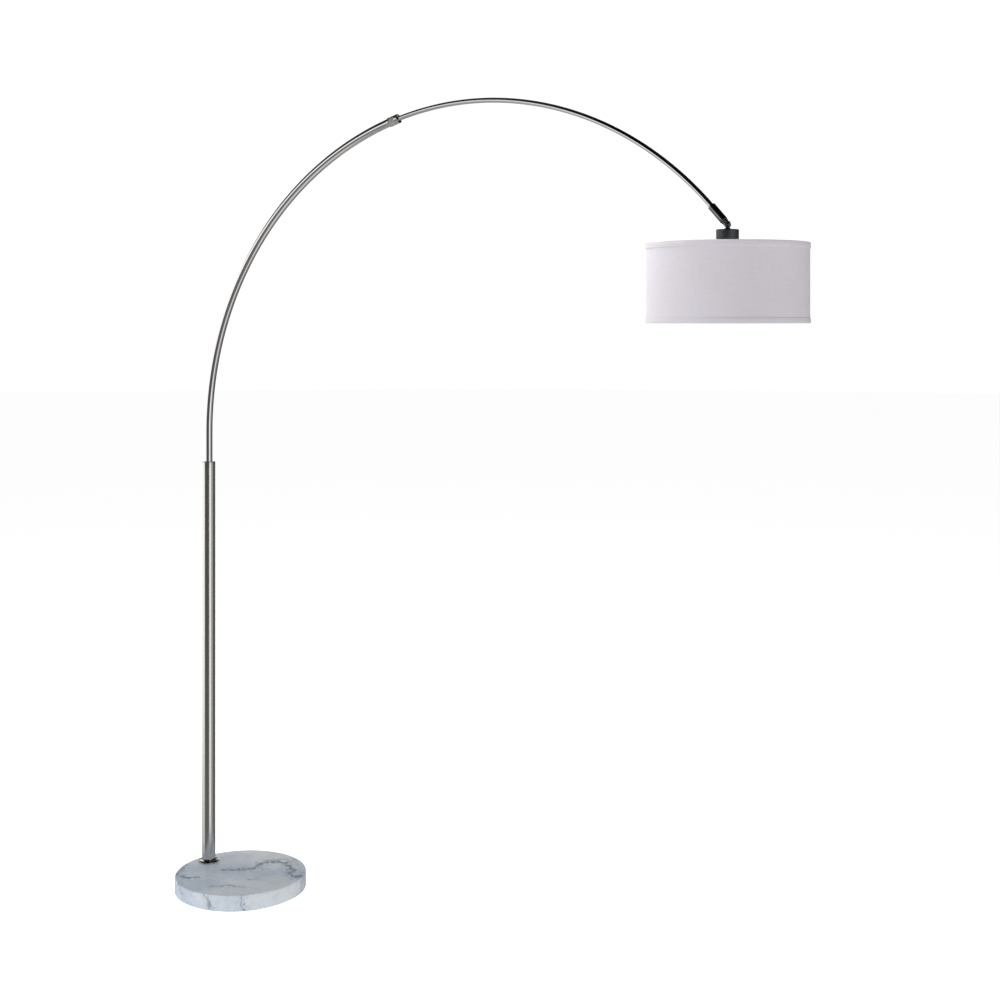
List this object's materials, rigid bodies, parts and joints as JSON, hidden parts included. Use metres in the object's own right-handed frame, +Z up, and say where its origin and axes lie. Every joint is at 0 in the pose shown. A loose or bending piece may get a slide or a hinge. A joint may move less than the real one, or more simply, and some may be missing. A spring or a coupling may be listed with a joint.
{
  "type": "arc floor lamp",
  "caption": "Arc floor lamp: marble disc base, steel pole, swivelling and telescoping arc arm, and a tilting fabric drum shade.",
  "frame": {"origin": "middle of the base's underside, on the floor", "axes": "+Z up; +X the way the arm reaches, in the plane of the arc; +Y to the left of the arm, seen from the base"},
  "size_m": [1.7335, 0.3758, 2.0567],
  "materials": {
    "marble": "polished, pale blue-grey with darker veins",
    "satin_steel": "satin nickel-plated steel, finely brushed along the tube",
    "dark_steel": "dark gunmetal, satin",
    "bright_steel": "plain bright zinc-plated steel",
    "brass": "plain brass",
    "felt": "dense dark felt",
    "rubber": "matt black rubber",
    "nylon": "natural nylon",
    "phenolic": "moulded black phenolic",
    "porcelain": "unglazed white porcelain",
    "shade_fabric": "plain-woven white fabric, matt",
    "shade_liner": "white styrene sheet",
    "bulb_glass": "frosted white glass"
  },
  "bodies": {
    "root": {"base_pad": "felt", "marble_base": "marble", "cord_grommet": "rubber", "tie_tube": "bright_steel", "base_washer": "bright_steel", "base_lock_washer": "bright_steel", "base_nut": "bright_steel", "foot_flange": "satin_steel", "pole_foot_plug": "bright_steel", "pole_tube": "satin_steel", "pole_seat": "nylon", "swivel_washer": "nylon", "pole_top_bush": "satin_steel", "swivel_screw": "bright_steel", "flex_inlet": "rubber", "flex_pole": "rubber"},
    "lower_arm": {"lower_arc_tube": "satin_steel", "collar_collet": "nylon", "flex_lower": "rubber"},
    "collar": {"lock_collar": "satin_steel"},
    "upper_arm": {"upper_arc_tube": "satin_steel", "guide_ring": "nylon", "end_sleeve": "dark_steel", "sleeve_screw": "bright_steel", "knuckle_fork": "dark_steel", "pivot_bolt": "bright_steel", "friction_washer_near": "nylon", "friction_washer_far": "nylon", "nut_washer": "bright_steel", "flex_upper": "rubber"},
    "wing_nut": {"tilt_wing_nut": "bright_steel"},
    "head": {"knuckle_eye": "dark_steel", "cap_nut": "bright_steel", "socket_cap": "dark_steel", "lampholder_body": "phenolic", "lampholder_shell": "brass", "lampholder_insulator": "porcelain", "centre_contact": "brass", "shade_ring_nut": "phenolic", "shade_spider": "bright_steel", "shade_bottom_ring": "bright_steel", "shade_fabric": "shade_fabric", "shade_liner": "shade_liner", "shade_trim_top": "shade_fabric", "shade_trim_bottom": "shade_fabric", "bulb_cap": "bright_steel", "bulb_glass": "bulb_glass", "flex_head": "rubber"},
    "switch": {"switch_knob": "phenolic"}
  },
  "joints": [
    {"name": "arm_swivel", "type": "hinge", "parent": "root", "child": "lower_arm", "pos_m": [-0.12942, 0.02027, 1.131], "axis": [0, 0, 1], "range_deg": [-175, 175]},
    {"name": "collar_twist", "type": "hinge", "parent": "lower_arm", "child": "collar", "pos_m": [0.46499, 0.02027, 2.01343], "axis": [0.9558, 0, 0.294], "range_deg": [0, 120]},
    {"name": "arm_telescope", "type": "hinge", "parent": "lower_arm", "child": "upper_arm", "pos_m": [0.71258, 0.02027, 1.20865], "axis": [0, 1, 0], "range_deg": [-35, 6]},
    {"name": "head_tilt", "type": "hinge", "parent": "upper_arm", "child": "head", "pos_m": [1.37802, 0.02027, 1.72779], "axis": [0, 1, 0], "range_deg": [-90, 45]},
    {"name": "wing_nut_turn", "type": "hinge", "parent": "upper_arm", "child": "wing_nut", "pos_m": [1.37802, 0.02027, 1.72779], "axis": [0, 1, 0], "continuous": true},
    {"name": "switch_turn", "type": "hinge", "parent": "head", "child": "switch", "pos_m": [1.37802, 0.02027, 1.6475], "axis": [0, 1, 0], "continuous": true}
  ]
}
